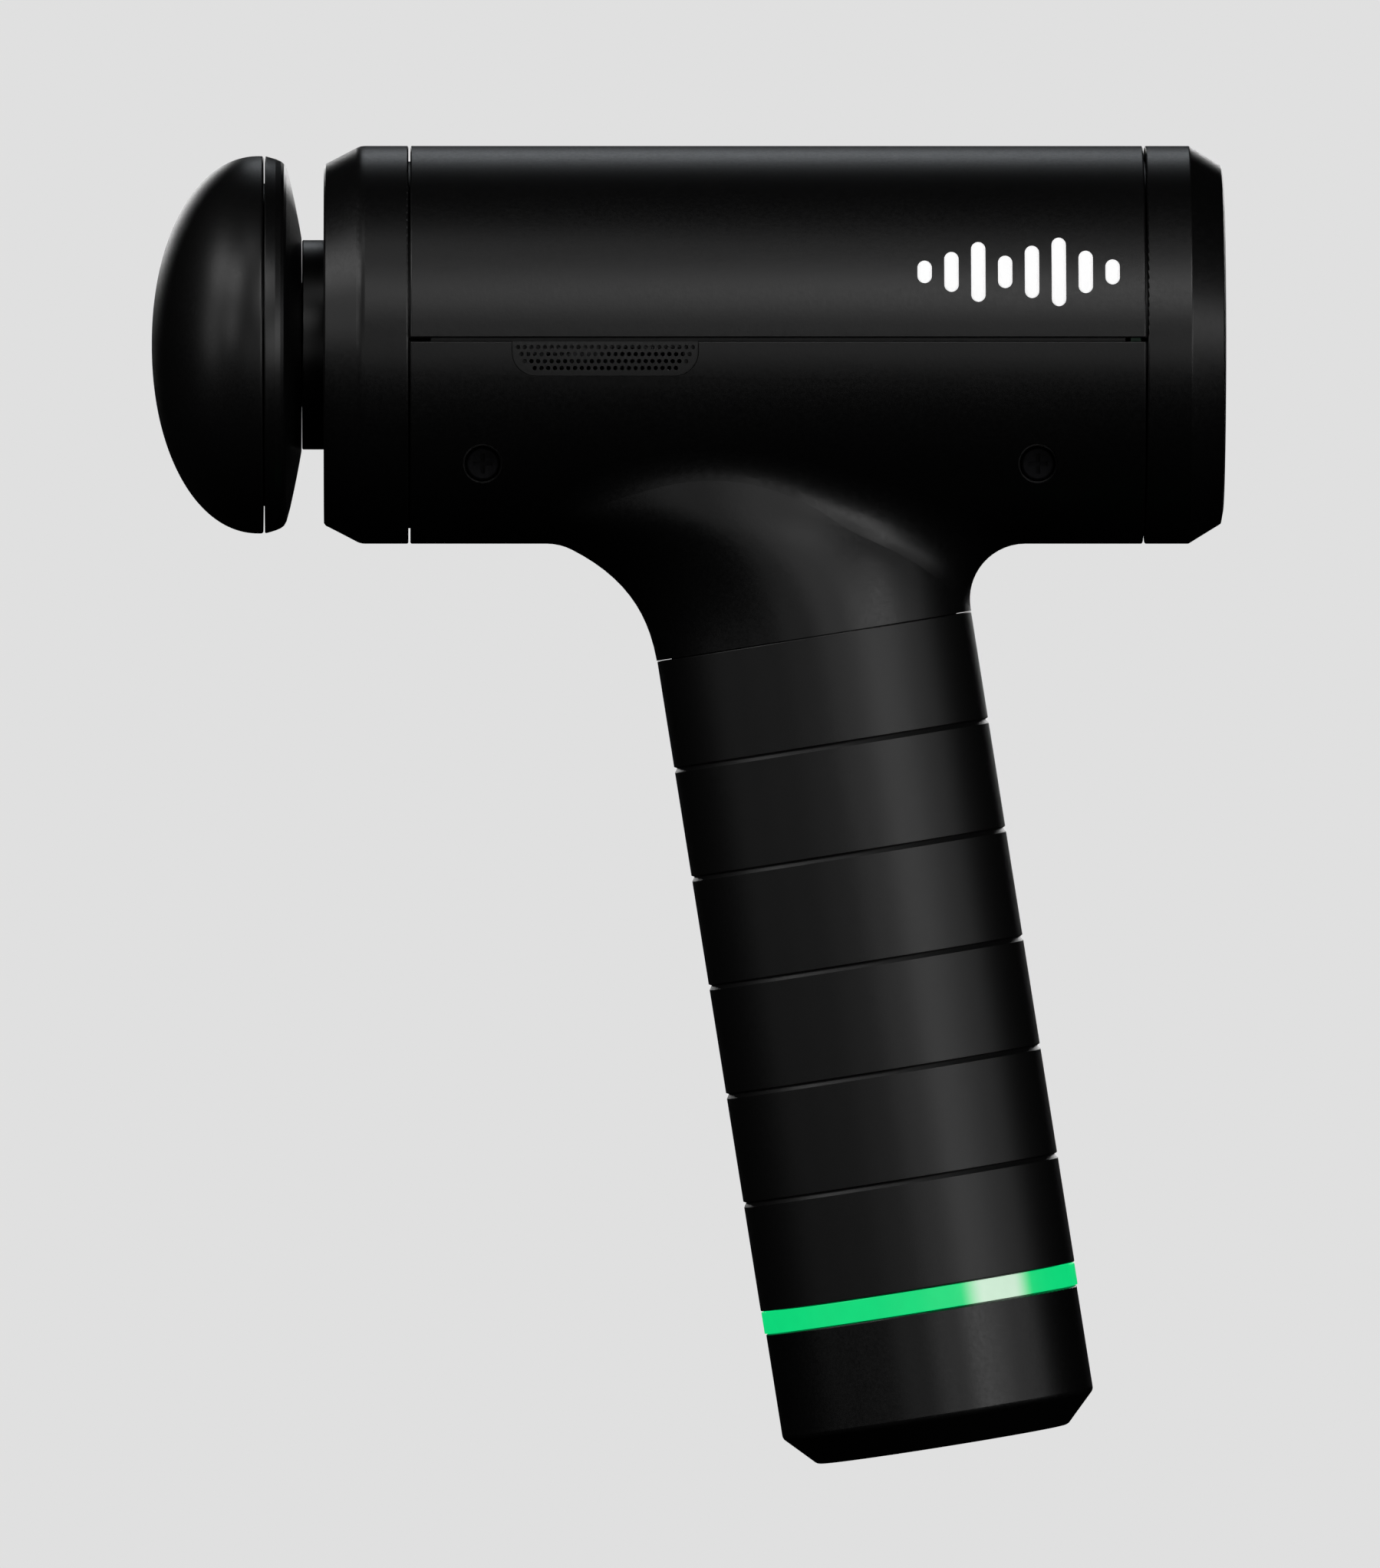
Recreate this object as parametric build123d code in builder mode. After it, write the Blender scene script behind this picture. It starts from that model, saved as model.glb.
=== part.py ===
"""A cordless percussion massage gun: a round barrel on a tilted round handle, with a pull-off cushion head.

Millimetres. +X runs along the barrel to its rear, +Z is up and the head points along -X. The origin is under the
middle of the object, level with the lowest point of the handle's foot. Heights in the barrel's sections are measured
from the barrel's axis, and distances down the handle from the point where its axis meets the barrel's.
"""

import os
from math import cos, radians, sin, sqrt, tan

from build123d import *

os.makedirs("parts", exist_ok=True)

# ---------------------------------------------------------------- driving dimensions

TILT = 9.05  # the handle leans back from the vertical, degrees
BARREL_R = 32.0
WALL = 2.2
HANDLE_X = 12.5  # where the handle's axis crosses the barrel's
FACE_X = -58.9  # the front cap's face
FRONT_SEAM_X = -45.0
REAR_SEAM_X = 72.8
REAR_FACE_X = 85.84
SEAM_GAP = 0.3
HEAD_TIP_X = -86.6
HEAD_SEAM_X = -68.5  # where the cushion meets its base
HEAD_R = 30.36
COLLAR_X = -62.4  # front face of the moving collar, fully drawn in
COLLAR_R = 16.85
SPLIT_Z = 0.3  # top edge of the two lower housings
COVER_Z = 0.9  # lower edge of the top cover
GRIP_R = 25.57
THROAT_R = 25.6
CORE_R = 23.2  # the handle's core, under the grip
CORE_BORE_R = 21.2
JOINT_H = 47.4  # throat to grip
RING_H = 153.5  # top of the light ring
RING_TALL = 3.6
BASE_TOP_H = 157.2
BASE_END_H = 179.1
BASE_R = 25.3
FOOT_CHAMFER = 4.9
FOOT_FILLET = 1.2
MOTOR_X = 13.0  # the motor stands upright in the throat
CRANK_R = 6.0
BUTTON_R = 13.0

# ---------------------------------------------------------------- derived places

tilt = radians(TILT)
foot_corner_r = BASE_R - FOOT_CHAMFER - FOOT_FILLET * tan(radians(22.5))
AXIS_Z = (BASE_END_H - FOOT_FILLET) * cos(tilt) + foot_corner_r * sin(tilt) + FOOT_FILLET

BARREL_AXIS = Axis((0, 0, AXIS_Z), (1, 0, 0))
BARREL_PROFILE = Plane(origin=(0, 0, AXIS_Z), x_dir=(1, 0, 0), z_dir=(0, -1, 0))  # x along, y outwards
HANDLE_DOWN = Vector(sin(tilt), 0, -cos(tilt))
HANDLE_REAR = Vector(cos(tilt), 0, sin(tilt))
HANDLE_TOP = Vector(HANDLE_X, 0, AXIS_Z)
HANDLE_AXIS = Axis(HANDLE_TOP, HANDLE_DOWN)
HANDLE_PROFILE = Plane(origin=HANDLE_TOP, x_dir=HANDLE_REAR, z_dir=(0, 1, 0))  # x outwards, y down
MOTOR_AXIS = Axis((MOTOR_X, 0, AXIS_Z), (0, 0, 1))
MOTOR_PROFILE = Plane(origin=(MOTOR_X, 0, AXIS_Z), x_dir=(1, 0, 0), z_dir=(0, -1, 0))  # x outwards, y up


def across_barrel(x):
    """The plane across the barrel at x: its own x is +Y, its own y is up and its normal is +X."""
    return Plane(origin=(x, 0, AXIS_Z), x_dir=(0, 1, 0), z_dir=(1, 0, 0))


def across_handle(h):
    """The plane across the handle, h down it: its own x is rearwards, its own y is -Y, its normal points down."""
    return Plane(origin=HANDLE_TOP + HANDLE_DOWN * h, x_dir=HANDLE_REAR, z_dir=HANDLE_DOWN)


def level(z, x=MOTOR_X):
    """The horizontal plane z above the barrel's axis, centred on x."""
    return Plane(origin=(x, 0, AXIS_Z + z))


def side_on(y):
    """The plane at y seen from the left: its own x is +X, its own y is up and its normal is -Y."""
    return Plane(origin=(0, y, AXIS_Z), x_dir=(1, 0, 0), z_dir=(0, -1, 0))


def in_handle(rearwards, h):
    """The point in the middle plane that far behind the handle's axis and that far down it."""
    return HANDLE_TOP + HANDLE_REAR * rearwards + HANDLE_DOWN * h


def handle_side(rearwards, h, y):
    """The plane at y with its origin at a place in the handle and its normal along -Y."""
    place = in_handle(rearwards, h)
    return Plane(origin=(place.X, y, place.Z), x_dir=(1, 0, 0), z_dir=(0, -1, 0))


def corners(sketch, *places):
    """The sketch's corners at these places in its own plane."""
    return [sketch.vertices().sort_by_distance(Vector(*place))[0] for place in places]


def turned(profile, axis, points, rounds=()):
    """A closed outline turned about an axis, with (radius, corner, corner...) rounds on it."""
    with BuildSketch(profile) as outline:
        with BuildLine():
            Polyline(*points, close=True)
        make_face()
        for radius, *places in rounds:
            fillet(corners(outline, *places), radius)
    with BuildPart() as body:
        add(outline.sketch)
        revolve(axis=axis)
    return body.part


def ring(plane, outer, inner, tall):
    """A plain ring standing on a plane."""
    with BuildPart() as body:
        with BuildSketch(plane):
            Circle(outer)
            Circle(inner, mode=Mode.SUBTRACT)
        extrude(amount=tall)
    return body.part


def screw(seat, head_r, head_tall, shank_r, shank_long):
    """A cross-head screw whose head rests on the plane and whose shank runs along the plane's normal."""
    with BuildPart() as body:
        with BuildSketch(seat):
            Circle(head_r)
        extrude(amount=-head_tall)
        rims = body.edges().filter_by(GeomType.CIRCLE)
        fillet(rims.sort_by_distance(seat.origin - seat.z_dir * 2 * head_tall)[0], head_tall * 0.3)
        with BuildSketch(seat):
            Circle(shank_r)
        extrude(amount=shank_long)
        with BuildSketch(seat.offset(-head_tall)):
            Rectangle(head_r * 1.1, head_r * 0.24)
            Rectangle(head_r * 0.24, head_r * 1.1)
        extrude(amount=head_tall * 0.6, mode=Mode.SUBTRACT)
    return body.part


def save(builder, name):
    """Labels a finished sub-part and writes its STEP file."""
    builder.part.label = name
    export_step(builder.part, f"parts/{name}.step")


# ---------------------------------------------------------------- the throat, where the handle grows into the barrel

FRONT_SWEEP_R = 21.36  # the large concave radius in front of the handle
FRONT_SWEEP_X = -26.7
FRONT_SWEEP_Z = -53.3
BLEND_R = 8.9  # the smaller radius behind and beside it
THROAT_LEVELS = (-57.0, -52.0, -47.5, -43.0, -39.5, -37.5, -18.0)
SWEEP_TOP = -37.5  # above this the front sweep runs straight on


def throat_front(z):
    """How far forward the throat reaches at height z, on the middle plane."""
    if z < FRONT_SWEEP_Z + FRONT_SWEEP_R * sin(tilt):
        return HANDLE_X - z * tan(tilt) - THROAT_R / cos(tilt)
    if z > SWEEP_TOP:
        rise = SWEEP_TOP - FRONT_SWEEP_Z
        return throat_front(SWEEP_TOP) - (z - SWEEP_TOP) * rise / sqrt(FRONT_SWEEP_R**2 - rise**2)
    return FRONT_SWEEP_X + sqrt(FRONT_SWEEP_R**2 - (z - FRONT_SWEEP_Z) ** 2)


def throat_rear(z):
    """How far back the throat reaches at height z, on the middle plane."""
    return HANDLE_X - z * tan(tilt) + THROAT_R / cos(tilt)


with BuildPart() as throat_outside:
    for z in THROAT_LEVELS:
        with BuildSketch(level(z, (throat_front(z) + throat_rear(z)) / 2)):
            Ellipse((throat_rear(z) - throat_front(z)) / 2, THROAT_R)
    loft()

with BuildPart() as throat_inside:
    for z in THROAT_LEVELS:
        with BuildSketch(level(z, (throat_front(z) + throat_rear(z)) / 2)):
            Ellipse((throat_rear(z) - throat_front(z)) / 2 - WALL, THROAT_R - WALL)
    loft()
    with BuildSketch(across_handle(JOINT_H - 2.5)):
        Rectangle(90, 90)
    extrude(amount=30, mode=Mode.SUBTRACT)

# ---------------------------------------------------------------- the battery's lead and the room it needs

LEAD_R = 1.6
LEAD_REAR = 16.0
LEAD_BENDS = [30.0, 16.0]

with BuildPart() as battery_lead:
    with BuildLine() as lead_path:
        route = [
            in_handle(LEAD_REAR, 133.9),
            in_handle(LEAD_REAR, 44),
            Vector(45.8, 0, AXIS_Z - 20),
            Vector(45.8, 0, AXIS_Z - 10.05),
        ]
        FilletPolyline(*route, radius=LEAD_BENDS)
    with BuildSketch(Plane(origin=lead_path.line @ 0, z_dir=lead_path.line % 0)):
        Circle(LEAD_R)
    sweep()
save(battery_lead, "battery_lead")

with BuildPart() as lead_room:
    with BuildSketch(Plane(origin=lead_path.line @ 0, z_dir=lead_path.line % 0)):
        Circle(LEAD_R + 0.7)
    sweep(path=lead_path.line)

# ---------------------------------------------------------------- rubber rings that float the drive inside the barrel

ISOLATOR_R = 28.3
FRAME_R = 24.0
BULKHEADS = {"front": (-12.0, -8.0), "rear": (36.0, 39.0)}
BORE_R = BARREL_R - WALL


def isolator_seat(x0, x1):
    """A ring inside the barrel with a channel that holds an isolator between two lips."""
    points = [
        (x0 - 1.2, BORE_R + 0.3),
        (x0 - 1.2, ISOLATOR_R - 1.1),
        (x0 - 0.05, ISOLATOR_R - 1.1),
        (x0 - 0.05, ISOLATOR_R + 0.05),
        (x1 + 0.05, ISOLATOR_R + 0.05),
        (x1 + 0.05, ISOLATOR_R - 1.1),
        (x1 + 1.2, ISOLATOR_R - 1.1),
        (x1 + 1.2, BORE_R + 0.3),
    ]
    return turned(BARREL_PROFILE, BARREL_AXIS, points)


for name, (x0, x1) in BULKHEADS.items():
    with BuildPart() as isolator:
        add(ring(across_barrel(x0), ISOLATOR_R, FRAME_R + 0.05, x1 - x0))
        add(lead_room.part, mode=Mode.SUBTRACT)
    save(isolator, f"{name}_isolator")

# ---------------------------------------------------------------- top cover

SPIGOT_LONG = 5.0
SPIGOT_R = 29.5
SPIGOT_BORE_R = 28.0
END_RIB_LONG = 3.0

TUBE_POINTS = [
    (FRONT_SEAM_X - SPIGOT_LONG, SPIGOT_BORE_R),
    (FRONT_SEAM_X - SPIGOT_LONG, SPIGOT_R),
    (FRONT_SEAM_X, SPIGOT_R),
    (FRONT_SEAM_X, BARREL_R),
    (REAR_SEAM_X, BARREL_R),
    (REAR_SEAM_X, SPIGOT_R),
    (REAR_SEAM_X + SPIGOT_LONG, SPIGOT_R),
    (REAR_SEAM_X + SPIGOT_LONG, SPIGOT_BORE_R),
    (REAR_SEAM_X - END_RIB_LONG, SPIGOT_BORE_R),
    (REAR_SEAM_X - END_RIB_LONG, BORE_R),
    (FRONT_SEAM_X + END_RIB_LONG, BORE_R),
    (FRONT_SEAM_X + END_RIB_LONG, SPIGOT_BORE_R),
]

with BuildPart() as top_cover:
    for x0, x1 in BULKHEADS.values():
        add(isolator_seat(x0, x1))
    with BuildSketch(across_barrel(FRONT_SEAM_X - 10)):
        with Locations((0, 4)):
            Rectangle(90, 45, align=(Align.CENTER, Align.MAX))
    extrude(amount=150, mode=Mode.SUBTRACT)
    add(turned(BARREL_PROFILE, BARREL_AXIS, TUBE_POINTS, [(0.3, TUBE_POINTS[3], TUBE_POINTS[4])]))
    with BuildSketch(across_barrel(FRONT_SEAM_X - 10)):
        with Locations((0, COVER_Z)):
            Rectangle(90, 45, align=(Align.CENTER, Align.MAX))
    extrude(amount=150, mode=Mode.SUBTRACT)
    lower_edges = top_cover.edges().filter_by(Axis.X).filter_by(lambda e: abs(e.center().Y) > BARREL_R - 0.1)
    fillet(lower_edges, 0.25)
save(top_cover, "top_cover")

# ---------------------------------------------------------------- lower housings, left and right

GRILLE_X = -13.8
GRILLE_LONG = 29.95
GRILLE_LOW = -5.25
GRILLE_CORNER = 3.9
GRILLE_SINK = 0.35
GRILLE_FLOOR_Y = 30.0
BARREL_SCREWS = ((-33.4, -19.2), (55.6, -19.2))
HANDLE_SCREWS = (52.0, 143.0)
RECESS_R = 3.15
RECESS_FLOOR_Y = -20.5
HANDLE_FLOOR_Y = -19.0
BOSS_R = 3.2
HALF_GAP = 0.06
BOARD_Z = -10.0


def grille_outline(inset):
    """The vent's outline seen from the side: flat on top, with two large lower corners."""
    with BuildSketch() as outline:
        with Locations((GRILLE_X, SPLIT_Z + 2 - inset)):
            tall = SPLIT_Z + 2 - GRILLE_LOW
            Rectangle(GRILLE_LONG - 2 * inset, tall - 2 * inset, align=(Align.CENTER, Align.MAX))
        fillet(outline.vertices().group_by(Axis.Y)[0], GRILLE_CORNER - inset)
    return outline.sketch_local


with BuildPart() as lining:
    for points in (TUBE_POINTS[:3] + [(FRONT_SEAM_X, BORE_R + 0.3)], TUBE_POINTS[5:9]):
        inner = points + [(FRONT_SEAM_X + END_RIB_LONG, BORE_R + 0.3), TUBE_POINTS[11]]
        outer = points + [(REAR_SEAM_X - END_RIB_LONG, BORE_R + 0.3), (REAR_SEAM_X, BORE_R + 0.3)]
        add(turned(BARREL_PROFILE, BARREL_AXIS, inner if points[0][0] < 0 else outer))
    for x0, x1 in BULKHEADS.values():
        add(isolator_seat(x0, x1))
    with BuildSketch(across_barrel(FRONT_SEAM_X - 10)):
        with Locations((0, SPLIT_Z)):
            Rectangle(90, 45, align=(Align.CENTER, Align.MIN))
    extrude(amount=150, mode=Mode.SUBTRACT)
    # A tongue stands up behind the top cover's lower edge.
    for outer_r, high in ((BORE_R - 0.1, 3.2), (BORE_R + 0.2, SPLIT_Z)):
        with BuildSketch(across_barrel(FRONT_SEAM_X + END_RIB_LONG + 0.3)):
            Circle(outer_r)
            Circle(28.6, mode=Mode.SUBTRACT)
            with Locations((0, high)):
                Rectangle(90, high + 7, align=(Align.CENTER, Align.MAX), mode=Mode.INTERSECT)
        extrude(amount=REAR_SEAM_X - FRONT_SEAM_X - 2 * END_RIB_LONG - 0.6)
    # Shelves for the main board.
    for x in (45.0, 61.0):
        with BuildSketch(across_barrel(x)):
            with Locations((0, BOARD_Z - 0.05)):
                Rectangle(60, 2.4, align=(Align.CENTER, Align.MAX))
            Rectangle(31, 60, mode=Mode.SUBTRACT)
            Circle(BORE_R + 0.3, mode=Mode.INTERSECT)
        extrude(amount=3)

with BuildPart() as barrel_bosses:
    with BuildSketch(side_on(30)):
        with Locations(*BARREL_SCREWS):
            Circle(BOSS_R)
    extrude(amount=60)
    with BuildSketch(side_on(RECESS_FLOOR_Y + 1.6)):
        with Locations(*BARREL_SCREWS):
            Circle(RECESS_R + 1.4)
    extrude(amount=10)
    with BuildSketch(across_barrel(FRONT_SEAM_X)):
        Circle(BORE_R + 0.8)
    extrude(amount=REAR_SEAM_X - FRONT_SEAM_X, mode=Mode.INTERSECT)

with BuildPart() as handle_bosses:
    for h in HANDLE_SCREWS:
        with BuildSketch(handle_side(0, h, 30)):
            Circle(BOSS_R)
        extrude(amount=60)
        with BuildSketch(handle_side(0, h, HANDLE_FLOOR_Y + 1.6)):
            Circle(RECESS_R + 1.2)
        extrude(amount=10)
    with BuildSketch(across_handle(JOINT_H - 10)):
        Circle(CORE_BORE_R + 0.8)
    extrude(amount=140, mode=Mode.INTERSECT)

with BuildPart() as housing:
    with BuildSketch(across_barrel(FRONT_SEAM_X)):
        Circle(BARREL_R)
    extrude(amount=REAR_SEAM_X - FRONT_SEAM_X)
    add(throat_outside.part)
    around = housing.edges().filter_by(lambda e: e.bounding_box().size.Y > 30 and e.bounding_box().size.X > 30)
    fillet(around.filter_by(lambda e: abs(e.bounding_box().max.Z - AXIS_Z + 19) < 5), BLEND_R)
    fillet(housing.edges().filter_by(GeomType.CIRCLE).filter_by(lambda e: abs(e.radius - BARREL_R) < 0.01), 0.3)
    with BuildSketch(across_barrel(FRONT_SEAM_X - 10)):
        with Locations((0, SPLIT_Z)):
            Rectangle(90, 45, align=(Align.CENTER, Align.MIN))
    extrude(amount=150, mode=Mode.SUBTRACT)
    fillet(housing.edges().filter_by(Axis.X).filter_by(lambda e: abs(e.center().Y) > BARREL_R - 0.1), 0.2)
    with BuildSketch(across_handle(JOINT_H)):
        Rectangle(90, 90)
    extrude(amount=30, mode=Mode.SUBTRACT)
    with BuildSketch(across_handle(JOINT_H - 3)):
        Circle(CORE_R)
    extrude(amount=RING_H + 1.1 - JOINT_H + 3)
    # Hollow the barrel, the throat and the core.
    with BuildSketch(across_barrel(FRONT_SEAM_X - 1)):
        Circle(BORE_R)
    extrude(amount=REAR_SEAM_X - FRONT_SEAM_X + 2, mode=Mode.SUBTRACT)
    add(throat_inside.part, mode=Mode.SUBTRACT)
    with BuildSketch(across_handle(JOINT_H - 6)):
        Circle(CORE_BORE_R)
    extrude(amount=RING_H + 10 - JOINT_H, mode=Mode.SUBTRACT)
    add(lining.part)
    add(barrel_bosses.part)
    add(handle_bosses.part)
    # Screw holes: a deep recess and a clearance hole on the left, a pilot hole on the right.
    for seat_y, places in (
        (RECESS_FLOOR_Y, [side_on(0).shift_origin(Vector(x, 0, AXIS_Z + z)) for x, z in BARREL_SCREWS]),
        (HANDLE_FLOOR_Y, [handle_side(0, h, 0) for h in HANDLE_SCREWS]),
    ):
        for place in places:
            for from_y, to_y, radius in ((-40, seat_y, RECESS_R), (seat_y - 1, 1, 1.6), (0, 11, 1.5)):
                with BuildSketch(place.offset(-to_y)):
                    Circle(radius)
                extrude(amount=to_y - from_y, mode=Mode.SUBTRACT)
    # The vents' pockets, open to the inside through a window.
    for y in (-GRILLE_FLOOR_Y, GRILLE_FLOOR_Y + 4):
        with BuildSketch(side_on(y)):
            add(grille_outline(0))
        extrude(amount=4, mode=Mode.SUBTRACT)
    with BuildSketch(side_on(34)):
        with Locations((GRILLE_X, -2.5)):
            Rectangle(GRILLE_LONG - 5, 3.6)
    extrude(amount=68, mode=Mode.SUBTRACT)
    add(lead_room.part, mode=Mode.SUBTRACT)

for name, y in (("left_housing", -HALF_GAP), ("right_housing", 60.0)):
    with BuildPart() as half:
        add(housing.part)
        with BuildSketch(side_on(y)):
            Rectangle(400, 600)
        extrude(amount=60 - HALF_GAP, mode=Mode.INTERSECT)
    save(half, name)

# ---------------------------------------------------------------- vents

HOLE_R = 0.35
HOLE_PITCH = 1.076
HOLE_ROWS = ((-27.75, -0.6, 27), (-27.2, -1.72, 26), (-26.67, -2.85, 25), (-25.07, -3.95, 22))

for name, y in (("left_grille", -GRILLE_FLOOR_Y - 0.05), ("right_grille", GRILLE_FLOOR_Y + 4)):
    with BuildPart() as grille:
        with BuildSketch(side_on(y)):
            add(grille_outline(0.1))
            with Locations((GRILLE_X, SPLIT_Z)):
                Rectangle(60, 10, align=(Align.CENTER, Align.MIN), mode=Mode.SUBTRACT)
        extrude(amount=3.95)
        with BuildSketch(across_barrel(GRILLE_X - 30)):
            Circle(BARREL_R - GRILLE_SINK)
        extrude(amount=60, mode=Mode.INTERSECT)
        with BuildSketch(side_on(y)):
            for start, z, count in HOLE_ROWS:
                with Locations(*[(start + i * HOLE_PITCH, z) for i in range(count)]):
                    Circle(HOLE_R)
        extrude(amount=3.95, mode=Mode.SUBTRACT)
    save(grille, name)

# ---------------------------------------------------------------- barrel ends

FRONT_BORE_R = COLLAR_R + 0.45
SEAL_R = 20.2

with BuildPart() as front_cap:
    points = [
        (FRONT_SEAM_X - SEAM_GAP, BARREL_R),
        (-53.0, BARREL_R),
        (-58.6, 29.1),
        (FACE_X, 28.7),
        (FACE_X, FRONT_BORE_R),
        (-56.4, FRONT_BORE_R),
        (-56.4, SEAL_R),
        (-51.2, SEAL_R),
        (-51.2, SEAL_R + 1.8),
        (-56.4, SEAL_R + 1.8),
        (-56.4, 26.6),
        (-52.8, 29.6),
        (FRONT_SEAM_X - SEAM_GAP, 29.6),
    ]
    rounds = [(0.3, points[0]), (3.0, points[1]), (0.25, points[2]), (0.4, points[4])]
    add(turned(BARREL_PROFILE, BARREL_AXIS, points, rounds))
save(front_cap, "front_cap")

with BuildPart() as front_seal:
    points = [
        (-56.35, COLLAR_R + 0.3),
        (-56.35, SEAL_R - 0.05),
        (-51.4, SEAL_R - 0.05),
        (-51.4, SEAL_R - 1.2),
        (-54.4, SEAL_R - 1.2),
        (-54.4, COLLAR_R + 0.3),
    ]
    add(turned(BARREL_PROFILE, BARREL_AXIS, points, [(0.4, points[0], points[5])]))
save(front_seal, "front_seal")

LIGHT_R = 0.95
LIGHT_RING_R = 20.5
LIGHT_ANGLES = (66, 82, 98, 114)

with BuildPart() as rear_cap:
    points = [
        (REAR_SEAM_X + SEAM_GAP, BARREL_R),
        (80.2, BARREL_R),
        (REAR_FACE_X - 0.44, 28.8),
        (REAR_FACE_X - 0.12, 27.0),
        (REAR_FACE_X, BUTTON_R + 0.35),
        (80.0, BUTTON_R + 0.35),
        (80.0, BUTTON_R + 2.2),
        (84.0, BUTTON_R + 2.2),
        (84.0, 26.8),
        (80.4, 29.6),
        (REAR_SEAM_X + SEAM_GAP, 29.6),
    ]
    rounds = [(0.3, points[0]), (0.6, points[1]), (0.4, points[2]), (0.3, points[4])]
    add(turned(BARREL_PROFILE, BARREL_AXIS, points, rounds))
    with BuildSketch(across_barrel(83)):
        for angle in LIGHT_ANGLES:
            with PolarLocations(LIGHT_RING_R, 1, start_angle=angle):
                Circle(LIGHT_R + 0.05)
    extrude(amount=5, mode=Mode.SUBTRACT)
save(rear_cap, "rear_cap")

with BuildPart() as speed_lights:
    with BuildSketch(across_barrel(REAR_FACE_X - 2.8)):
        for angle in LIGHT_ANGLES:
            with PolarLocations(LIGHT_RING_R, 1, start_angle=angle):
                Circle(LIGHT_R)
    extrude(amount=2.72)
save(speed_lights, "speed_lights")

with BuildPart() as power_button:
    points = [
        (77.9, 0),
        (77.9, 2.0),
        (79.0, 2.0),
        (79.0, BUTTON_R + 1.6),
        (79.9, BUTTON_R + 1.6),
        (79.9, BUTTON_R),
        (REAR_FACE_X - 0.04, BUTTON_R),
        (REAR_FACE_X + 0.08, 8.0),
        (REAR_FACE_X + 0.1, 0),
    ]
    add(turned(BARREL_PROFILE, BARREL_AXIS, points, [(0.35, points[6])]))
    # A shallow ring round the middle of the button.
    add(ring(across_barrel(REAR_FACE_X - 0.15), 6.9, 6.3, 1), mode=Mode.SUBTRACT)
save(power_button, "power_button")

with BuildPart() as button_board:
    with BuildSketch(across_barrel(70.4)):
        Circle(SPIGOT_BORE_R - 0.1)
        with Locations((0, -23)):
            Rectangle(60, 20, align=(Align.CENTER, Align.MAX), mode=Mode.SUBTRACT)
    extrude(amount=1.6)
save(button_board, "button_board")

with BuildPart() as button_switch:
    with BuildSketch(across_barrel(72.0)):
        Rectangle(6.2, 6.2)
    extrude(amount=3.4)
    with BuildSketch(across_barrel(72.0)):
        Circle(1.7)
    extrude(amount=4.95)
save(button_switch, "button_switch")

# ---------------------------------------------------------------- grip, light ring and foot

GROOVES = [64.97 + 17.7 * i for i in range(5)]
GROOVE_DEEP = 0.45
GROOVE_WIDE = 0.95

with BuildPart() as grip_sleeve:
    outside = [(GRIP_R, JOINT_H + 0.1)]
    for h in GROOVES:
        outside += [(GRIP_R, h - 0.25), (GRIP_R - GROOVE_DEEP, h), (GRIP_R, h - 0.25 + GROOVE_WIDE)]
    outside += [(GRIP_R, RING_H - 0.1)]
    points = outside + [(CORE_R + 0.03, RING_H - 0.1), (CORE_R + 0.03, JOINT_H + 0.1)]
    add(turned(HANDLE_PROFILE, HANDLE_AXIS, points, [(0.2, outside[0], outside[-1])]))
save(grip_sleeve, "grip_sleeve")

RING_FLANGE_R = 19.5

with BuildPart() as light_ring:
    points = [
        (GRIP_R - 0.07, RING_H + 0.05),
        (GRIP_R - 0.07, RING_H + RING_TALL - 0.02),
        (CORE_R + 0.1, RING_H + RING_TALL - 0.02),
        (CORE_R + 0.1, RING_H + 2.4),
        (RING_FLANGE_R, RING_H + 2.4),
        (RING_FLANGE_R, RING_H + 1.2),
        (CORE_R + 0.1, RING_H + 1.2),
        (CORE_R + 0.1, RING_H + 0.05),
    ]
    add(turned(HANDLE_PROFILE, HANDLE_AXIS, points, [(0.12, points[0], points[1])]))
save(light_ring, "light_ring")

with BuildPart() as light_ring_board:
    add(ring(across_handle(RING_H + 2.45), CORE_R - 0.2, 17.6, 1.15))
save(light_ring_board, "light_ring_board")

BASE_SCREW_PLACES = ((9.9, 9.9), (-9.9, -9.9))
SOCKET_BORE_R = 2.8
SOCKET_DEEP = 9.5
SOCKET_MOUTH_H = 178.6
PIN_ROOT_R = 1.5

with BuildPart() as base_cap:
    points = [
        (0, BASE_END_H),
        (BASE_R - FOOT_CHAMFER, BASE_END_H),
        (BASE_R, BASE_END_H - FOOT_CHAMFER),
        (BASE_R, BASE_TOP_H),
        (CORE_R, BASE_TOP_H),
        (CORE_R, BASE_END_H - FOOT_CHAMFER),
        (CORE_R - 3.6, BASE_END_H - 2.6),
        (0, BASE_END_H - 2.6),
    ]
    rounds = [(FOOT_FILLET, points[1], points[2]), (0.25, points[3])]
    add(turned(HANDLE_PROFILE, HANDLE_AXIS, points, rounds))
    for place in BASE_SCREW_PLACES:
        for plane, radius, tall in (
            (across_handle(166.1), 3.2, 12.0),
            (across_handle(171.0), 4.6, 7.0),
        ):
            with BuildSketch(plane):
                with Locations(place):
                    Circle(radius)
            extrude(amount=tall)
    with BuildSketch(across_handle(150)):
        Circle(4.05)
    extrude(amount=40, mode=Mode.SUBTRACT)
    for plane, radius, tall in (
        (across_handle(172.5), 3.0, 10.0),
        (across_handle(160.0), 1.6, 20.0),
    ):
        with BuildSketch(plane):
            with Locations(*BASE_SCREW_PLACES):
                Circle(radius)
        extrude(amount=tall, mode=Mode.SUBTRACT)
save(base_cap, "base_cap")

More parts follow.
